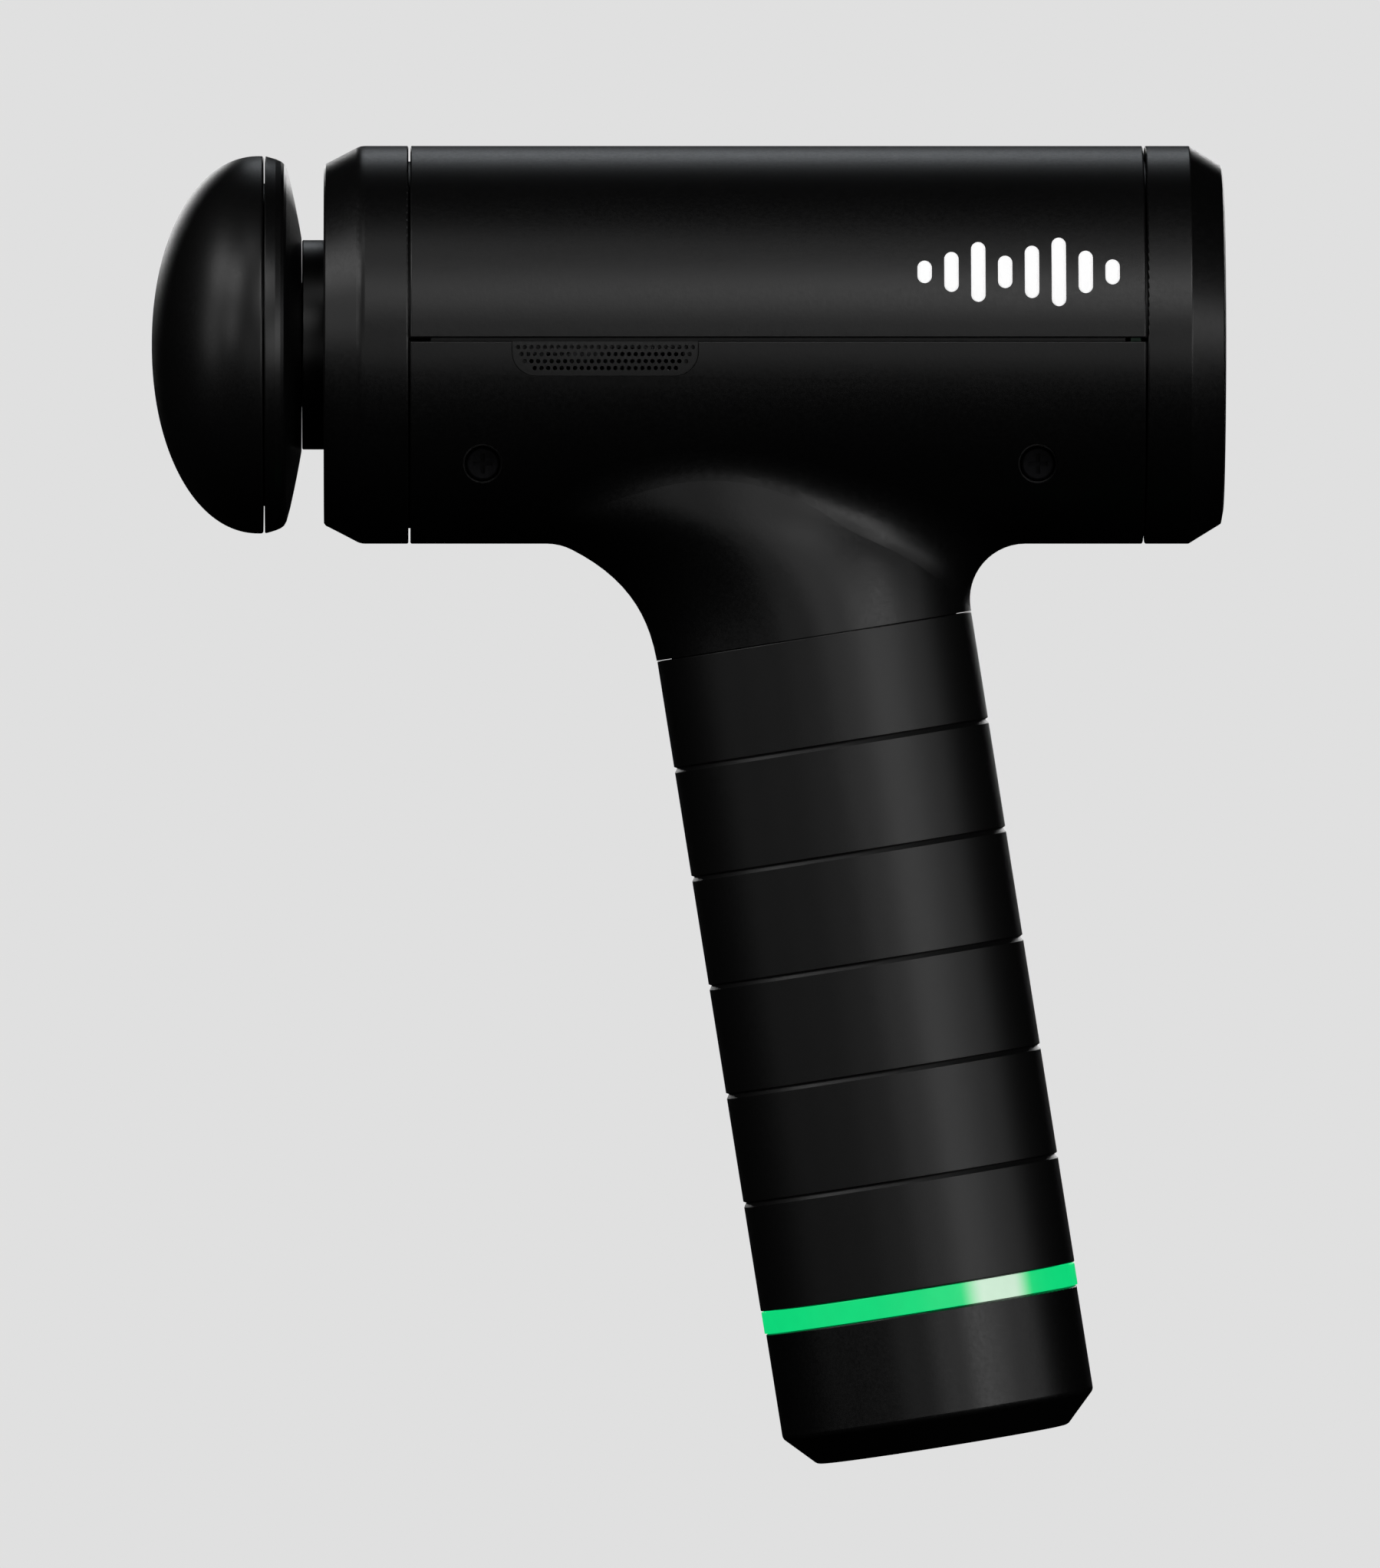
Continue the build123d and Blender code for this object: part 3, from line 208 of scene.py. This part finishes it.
def lit_ring(name):
    """A lit lens: green all round, with a painted reflection on each side toward the rear, a pale segment
    given as glow.
    """
    m, nt, s = material(name)
    coord = nt.nodes.new("ShaderNodeTexCoord")
    offset = nt.nodes.new("ShaderNodeVectorMath")
    offset.operation = "SUBTRACT"
    offset.inputs[1].default_value = TOP
    link(nt, coord.outputs["Object"], offset.inputs[0])
    along = nt.nodes.new("ShaderNodeVectorMath")
    along.operation = "DOT_PRODUCT"
    along.inputs[1].default_value = REAR
    link(nt, offset.outputs["Vector"], along.inputs[0])
    rise = nt.nodes.new("ShaderNodeMapRange")
    rise.interpolation_type = "SMOOTHSTEP"
    rise.inputs["From Min"].default_value = PAINTED_REFLECTION_RISE[0]
    rise.inputs["From Max"].default_value = PAINTED_REFLECTION_RISE[1]
    link(nt, along.outputs["Value"], rise.inputs["Value"])
    fall = nt.nodes.new("ShaderNodeMapRange")
    fall.interpolation_type = "SMOOTHSTEP"
    fall.inputs["From Min"].default_value = PAINTED_REFLECTION_FALL[0]
    fall.inputs["From Max"].default_value = PAINTED_REFLECTION_FALL[1]
    link(nt, along.outputs["Value"], fall.inputs["Value"])
    painted_reflection_mask = nt.nodes.new("ShaderNodeMath")
    painted_reflection_mask.operation = "MULTIPLY"
    link(nt, rise.outputs["Result"], painted_reflection_mask.inputs[0])
    link(nt, fall.outputs["Result"], painted_reflection_mask.inputs[1])
    # mixes the painted reflection, a pale glowing segment, into the lens's green glow
    mix = nt.nodes.new("ShaderNodeMix")
    mix.data_type = "RGBA"
    mix.inputs["A"].default_value = RING_GREEN
    mix.inputs["B"].default_value = RING_PAINTED_REFLECTION
    link(nt, painted_reflection_mask.outputs["Value"], mix.inputs["Factor"])
    grain = noise(nt, 420, 2)
    level = nt.nodes.new("ShaderNodeMix")
    level.data_type = "RGBA"
    level.blend_type = "MULTIPLY"
    level.inputs["Factor"].default_value = 1.0
    link(nt, mix.outputs["Result"], level.inputs["A"])
    link(nt, tint(nt, grain.outputs["Fac"], (0.96, 0.96, 0.96), (1.0, 1.0, 1.0)), level.inputs["B"])
    link(nt, level.outputs["Result"], s.inputs["Emission Color"])
    s.inputs["Emission Strength"].default_value = 1.0
    s.inputs["Base Color"].default_value = (0.004, 0.05, 0.02, 1)
    s.inputs["Roughness"].default_value = 0.35
    return m


def lit_window(name):
    """A small cloudy window with a faint cool glow."""
    m, nt, s = material(name)
    tex = noise(nt, 900, 2)
    link(nt, tint(nt, tex.outputs["Fac"], (0.55, 0.58, 0.6), (0.75, 0.78, 0.8)), s.inputs["Base Color"])
    link(nt, tint(nt, tex.outputs["Fac"], (0.7, 0.8, 0.85), (0.9, 0.95, 1.0)), s.inputs["Emission Color"])
    s.inputs["Emission Strength"].default_value = 0.35
    s.inputs["Roughness"].default_value = 0.3
    return m


def ink(name):
    """Screen-printed white, with a painted glow that keeps it bright in any light."""
    m, nt, s = material(name)
    tex = noise(nt, 2400, 3)
    link(nt, tint(nt, tex.outputs["Fac"], (0.86, 0.86, 0.86), (0.92, 0.92, 0.92)), s.inputs["Base Color"])
    link(nt, ramp(nt, tex.outputs["Fac"], 0.5, 0.62), s.inputs["Roughness"])
    # painted glow: the print shines by itself, not by the lamps
    s.inputs["Emission Color"].default_value = (0.9, 0.9, 0.9, 1)
    s.inputs["Emission Strength"].default_value = 0.55
    bump(nt, s, tex.outputs["Fac"], 0.00001, 0.5)
    return m


BODY = (0.0020, 0.0020, 0.0021)
GRIP = (0.0024, 0.0024, 0.0025)

M = {
    "body": moulded("body_plastic", BODY, 0.36, grain=1700, depth=0.00001),
    "cap": moulded("cap_plastic", BODY, 0.35, grain=1700, depth=0.000009),
    "grille": moulded("grille_plastic", (0.006, 0.006, 0.006), 0.5),
    "grip": moulded("grip_silicone", GRIP, 0.40, grain=5200, depth=0.000008),
    "cushion": moulded("cushion_skin", (0.0022, 0.0022, 0.0023), 0.38, grain=2600, depth=0.00001),
    "collar": moulded("collar_anodised", (0.0018, 0.0018, 0.0019), 0.36, grain=6000, depth=0.000005),
    "rubber": moulded("soft_rubber", (0.012, 0.012, 0.012), 0.6, grain=2400, depth=0.00002),
    "inner": moulded("inner_plastic", (0.035, 0.035, 0.038), 0.5, grain=1500, depth=0.00002),
    "chip": moulded("chip_black", (0.012, 0.012, 0.013), 0.4, grain=4200),
    "frame": metal("frame_alloy", (0.62, 0.63, 0.65), 0.42, grain=500),
    "steel": metal("steel", (0.55, 0.55, 0.57), 0.3, (1, 1, 8)),
    "dark_steel": metal("black_steel", (0.012, 0.012, 0.013), 0.5, grain=1500),
    "magnet": metal("magnet_nickel", (0.42, 0.42, 0.44), 0.3),
    "bronze": metal("bronze", (0.6, 0.4, 0.2), 0.38, (6, 1, 1)),
    "contact": metal("contact_plated", (0.78, 0.76, 0.7), 0.25, (1, 1, 6)),
    "strip": metal("nickel_strip", (0.66, 0.65, 0.62), 0.3, (1, 6, 1)),
    "copper": wound("copper_windings", (0.72, 0.34, 0.16), 420, "Z"),
    "cell": wrapped("cell_wrap", (0.03, 0.12, 0.3)),
    "board": board("board_green"),
    "lead": jacket("lead_jacket", (0.35, 0.02, 0.02)),
    "lens": lit_ring("ring_lens"),
    "window": lit_window("light_window"),
    "ink": ink("mark_ink_painted_glow"),
}

FINISH = {
    "body": ["left_housing", "right_housing", "top_cover"],
    "cap": ["front_cap", "rear_cap", "base_cap", "head_base", "power_button"],
    "grille": ["left_grille", "right_grille"],
    "grip": ["grip_sleeve"],
    "collar": ["plunger_piston"],
    "rubber": ["front_seal", "front_isolator", "rear_isolator", "stem_rings"],
    "inner": ["cell_holder_upper", "cell_holder_lower", "charge_socket", "socket_liner", "head_stem",
              "cooling_fan"],
    "chip": ["board_chips", "board_capacitors", "button_switch"],
    "frame": ["drive_frame", "motor_base", "drive_yoke"],
    "steel": ["rotor_bell", "motor_shaft", "motor_stator", "motor_bearings", "crank_disc", "crank_pin",
              "crank_bearing", "plunger_rod"],
    "dark_steel": ["housing_screws", "base_screws", "motor_screws", "yoke_screw"],
    "magnet": ["rotor_magnets"],
    "bronze": ["guide_bush"],
    "contact": ["charge_pin"],
    "strip": ["cell_links"],
    "copper": ["motor_windings"],
    "cell": ["battery_cells"],
    "board": ["light_ring_board", "battery_board", "main_board", "button_board"],
    "lead": ["battery_lead"],
    "lens": ["light_ring"],
    "window": ["speed_lights"],
}
for key, names in FINISH.items():
    for name in names:
        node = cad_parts[name]
        if not node.material_slots:
            node.data.materials.append(M[key])
        for slot in node.material_slots:
            slot.material = M[key]


# ---------------------------------------------------------------- meshes

def new_object(name, bm, mat):
    mesh = bpy.data.meshes.new(name)
    bm.to_mesh(mesh)
    bm.free()
    mesh.materials.append(mat)
    obj = bpy.data.objects.new(name, mesh)
    bpy.context.scene.collection.objects.link(obj)
    return obj


def lathe(profile, sides, place):
    """A turned mesh. The profile holds (along, radius) pairs, and place puts a point in the frame."""
    bm = bmesh.new()
    rings = []
    for along, radius in profile:
        if radius < 1e-6:
            rings.append([bm.verts.new(place(along, 0, 0))])
            continue
        ring = []
        for k in range(sides):
            turn = 2 * math.pi * k / sides
            ring.append(bm.verts.new(place(along, radius * math.cos(turn), radius * math.sin(turn))))
        rings.append(ring)
    for a, b in zip(rings, rings[1:]):
        for k in range(sides):
            k2 = (k + 1) % sides
            if len(a) == 1:
                bm.faces.new((a[0], b[k], b[k2]))
            elif len(b) == 1:
                bm.faces.new((a[k], b[0], a[k2]))
            else:
                bm.faces.new((a[k], b[k], b[k2], a[k2]))
    bmesh.ops.recalc_face_normals(bm, faces=bm.faces)
    for f in bm.faces:
        f.smooth = True
    return bm


def on_barrel(along, across, up):
    """A point in mm on the barrel's axis lines, in the frame's metres."""
    return (along * MM, across * MM, AXIS_Z + up * MM)


# ---------------------------------------------------------------- head cushion, sizes in mm

BELLY_X = -69.4  # the dome's widest section
CUSHION_DEEP = 17.2
CUSHION_R = 30.36
POWER = 2.08  # 2 would be an ellipse
DOME_STEPS = 56
SEAM_ROUND = [
    (-69.1, 30.36), (-68.95, 30.35), (-68.82, 30.31),
    (-68.72, 30.24), (-68.65, 30.14), (-68.62, 30.0),
]
BACK_X = -68.62
PLATE_R = 26.05
POCKET_X = -71.05
CUSHION_SIDES = 192


def cushion_profile():
    """Points from the tip round the dome, over the seam's edge and in over the back plate."""
    points = []
    for i in range(DOME_STEPS + 1):
        a = math.pi / 2 * i / DOME_STEPS
        along = math.cos(a) ** (2 / POWER)
        out = math.sin(a) ** (2 / POWER)
        points.append((BELLY_X - CUSHION_DEEP * along, CUSHION_R * out))
    points += SEAM_ROUND
    points += [(BACK_X, 29.0), (BACK_X, 27.5), (BACK_X, 26.1)]
    points += [(-69.6, PLATE_R), (POCKET_X, PLATE_R), (POCKET_X, 20), (POCKET_X, 0)]
    return points


cushion = new_object("cushion_foam", lathe(cushion_profile(), CUSHION_SIDES, on_barrel), M["cushion"])
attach(cushion, "head")
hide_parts("head_cushion")


# ---------------------------------------------------------------- generic mark, sizes in mm

BAR_HEIGHTS = (3.6, 6.4, 9.6, 5.2, 8.4, 11.0, 6.8, 4.0)
BAR_PITCH = 4.3
BAR_HALF_WIDTH = 1.15
MARK_X = 52.4
MARK_RISE = 11.45
BARREL_R = 32.0
MARK_PROUD = 0.05
MARK_SUNK = 0.015
BAR_STEPS = 28
ACROSS = (-1, -0.5, 0, 0.5, 1)


def bar_rows(tall):
    """Heights up a round-ended bar with its half width at each."""
    rows = []
    straight = tall / 2 - BAR_HALF_WIDTH
    for k in range(BAR_STEPS + 1):
        a = math.pi * k / BAR_STEPS - math.pi / 2
        z = MARK_RISE + tall / 2 * math.sin(a)
        inside = max(abs(z - MARK_RISE) - straight, 0)
        rows.append((z, math.sqrt(max(BAR_HALF_WIDTH ** 2 - inside ** 2, 0.0004))))
    return rows


def bar_mark(name, side):
    """A row of printed bars laid on the barrel's curve. Side 1 is the near side, and -1 the far one."""
    bm = bmesh.new()
    middle = (len(BAR_HEIGHTS) - 1) / 2
    face_r = BARREL_R + MARK_PROUD
    for i, tall in enumerate(BAR_HEIGHTS):
        cx = MARK_X + (i - middle) * BAR_PITCH
        grid = []
        for z, w in bar_rows(tall):
            y = -side * math.sqrt(face_r ** 2 - z * z)
            grid.append([bm.verts.new(on_barrel(cx + t * w, y, z)) for t in ACROSS])
        for r0, r1 in zip(grid, grid[1:]):
            for t in range(len(ACROSS) - 1):
                bm.faces.new((r0[t], r0[t + 1], r1[t + 1], r1[t]))
    bmesh.ops.recalc_face_normals(bm, faces=bm.faces)
    out = bmesh.ops.extrude_face_region(bm, geom=list(bm.faces))
    back_r = (BARREL_R - MARK_SUNK) * MM
    for v in [g for g in out["geom"] if isinstance(g, bmesh.types.BMVert)]:
        z = v.co.z - AXIS_Z
        v.co.y = -side * math.sqrt(back_r ** 2 - z * z)
    bmesh.ops.recalc_face_normals(bm, faces=bm.faces)
    for f in bm.faces:
        f.smooth = True
    obj = new_object(name, bm, M["ink"])
    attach(obj, "gun_body")


bar_mark("left_mark", 1)
bar_mark("right_mark", -1)


# ---------------------------------------------------------------- studio

FLOOR_DROP = 0.0006  # keeps the floor clear of the foot
PALE_GREY = (0.7454, 0.7454, 0.7454, 1)
SURROUND = [
    (0, 0), (0, 7.6), (0.08, 9.0), (0.4, 9.8), (1.0, 10.2),
    (2.0, 10.4), (6.0, 10.4), (8.6, 9.4), (10.4, 6.0), (11.0, 0),
]  # (height, radius) up from the floor's middle
SURROUND_SIDES = 96


def in_studio(up, x, y):
    return (x, y, up - FLOOR_DROP)


def studio():
    """A pale floor that turns up into a surround, the same pale grey everywhere."""
    bm = lathe(SURROUND, SURROUND_SIDES, in_studio)
    m = bpy.data.materials.new("studio_pale")
    m.use_nodes = True
    nt = m.node_tree
    nt.nodes.remove(nt.nodes["Principled BSDF"])
    glow = nt.nodes.new("ShaderNodeEmission")
    glow.inputs["Color"].default_value = PALE_GREY
    link(nt, glow.outputs["Emission"], nt.nodes["Material Output"].inputs["Surface"])
    floor = new_object("studio_floor", bm, m)
    floor.visible_diffuse = False
    floor.visible_glossy = False
    floor.visible_transmission = False
    floor.visible_shadow = False


studio()

world = bpy.data.worlds.new("studio_world")
bpy.context.scene.world = world
world.use_nodes = True
world.node_tree.nodes["Background"].inputs["Color"].default_value = (0, 0, 0, 1)
world.node_tree.nodes["Background"].inputs["Strength"].default_value = 0.0

AIM = Vector((0.0, 0.0, 0.12))
LIGHT_DISTANCE = 2.0


def soft_light(name, azimuth, elevation, size, power, colour=(1, 1, 1)):
    """A disc light aimed at the object. Azimuth 0 is the camera's side, and 90 is +X."""
    a, e = math.radians(azimuth), math.radians(elevation)
    direction = Vector((math.sin(a) * math.cos(e), -math.cos(a) * math.cos(e), math.sin(e)))
    data = bpy.data.lights.new(name, "AREA")
    data.shape = "DISK"
    data.size = size
    data.energy = power
    data.color = colour
    obj = bpy.data.objects.new(name, data)
    obj.location = AIM + direction * LIGHT_DISTANCE
    obj.rotation_euler = (-direction).to_track_quat("-Z", "Y").to_euler()
    bpy.context.scene.collection.objects.link(obj)


# Name, azimuth, elevation, disc size, power and colour. Most of the front lights' powers were found by a
# least-squares fit of single lights to the wanted brightness, then merged and rounded.
LIGHTS = [
    ("key", 55, 12, 0.6, 2.6),
    ("key_side", 78, 6, 0.9, 1.6),
    ("key_front", 38, 3, 0.7, 3.4),
    ("front", 12, 0, 0.6, 1.35),
    ("front_high", 10, 30, 0.8, 4.0),
    ("front_right_high", 25, 40, 0.6, 4.1),
    ("front_top", -20, 58, 0.6, 1.3),
    ("front_low", -15, 0, 0.6, 0.75),
    ("left", -45, 12, 0.6, 2.1),
    ("left_high", -45, 38, 0.7, 4.4),
    ("far_left", -75, 8, 0.8, 1.8),
    ("far_left_high", -75, 34, 0.8, 4.2),
    ("rim", 180, 40, 0.6, 1.2, (0.9, 0.95, 1)),
    ("back_left", -166, 12, 0.5, 2.6),
    ("back_right", 166, 10, 0.5, 2.6),
]
for spec in LIGHTS:
    soft_light(*spec)

# ---------------------------------------------------------------- camera

VIEW_TALL = 0.25229  # height of the view in the object's middle plane
VIEW_MIDDLE = Vector((0.0, 0.0, 0.10936))
CAMERA_SEAT = Vector((-0.043, -6.0, 0.133))


def add_camera():
    """A long lens at the object's left, a little toward the head and above the middle."""
    data = bpy.data.cameras.new("camera")
    data.sensor_fit = "VERTICAL"
    data.sensor_height = 24
    data.lens = data.sensor_height * (VIEW_MIDDLE - CAMERA_SEAT).length / VIEW_TALL
    data.clip_start = 0.1
    data.clip_end = 30
    camera = bpy.data.objects.new("camera", data)
    camera.location = CAMERA_SEAT
    camera.rotation_euler = (VIEW_MIDDLE - CAMERA_SEAT).to_track_quat("-Z", "Y").to_euler()
    bpy.context.scene.collection.objects.link(camera)
    bpy.context.scene.camera = camera


add_camera()
bpy.context.scene.view_settings.view_transform = "Standard"
